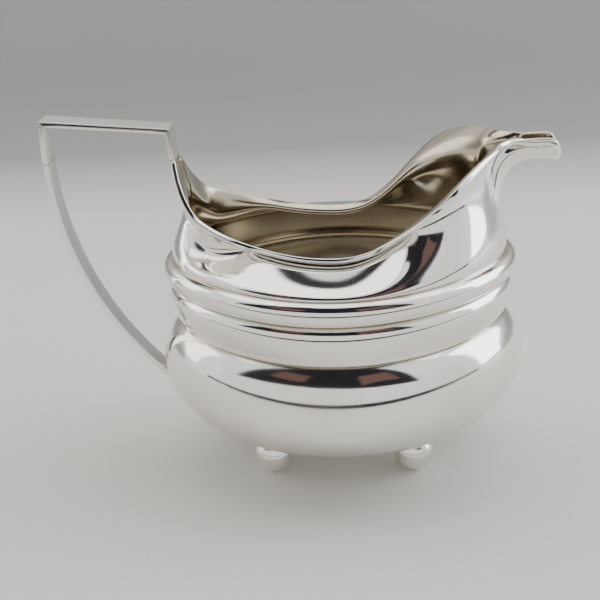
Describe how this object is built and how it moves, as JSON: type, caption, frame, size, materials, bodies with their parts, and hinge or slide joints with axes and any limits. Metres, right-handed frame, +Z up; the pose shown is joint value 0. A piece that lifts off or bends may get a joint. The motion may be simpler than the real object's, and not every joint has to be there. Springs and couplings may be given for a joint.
{
  "type": "cream jug",
  "caption": "Oblong bellied silver cream jug with a moulded girdle, a broad pouring lip, an angular strap handle and ball feet",
  "frame": {"origin": "On the table, under the middle of the jug's whole length and width", "axes": "+X points out of the spout, away from the handle; +Y points across the jug, to its left when the spout points forward; +Z is up"},
  "size_m": [0.1324, 0.0798, 0.0984],
  "materials": {
    "silver_body": "old hand-polished sterling silver with fine wear scratches",
    "silver_wire": "polished silver wire, rounded by wear",
    "silver_strap": "polished silver strap with soft edges",
    "silver_feet": "polished silver balls, scuffed underneath"
  },
  "bodies": {
    "root": {"base_plate": "silver_body", "belly": "silver_body", "lower_roll": "silver_body", "bead": "silver_body", "collar": "silver_body", "rim_wire": "silver_wire", "handle_riser": "silver_strap", "handle_top_bar": "silver_strap", "handle_sweep": "silver_strap", "foot_front_spout": "silver_feet", "foot_front_handle": "silver_feet", "foot_back_spout": "silver_feet", "foot_back_handle": "silver_feet"}
  },
  "joints": []
}
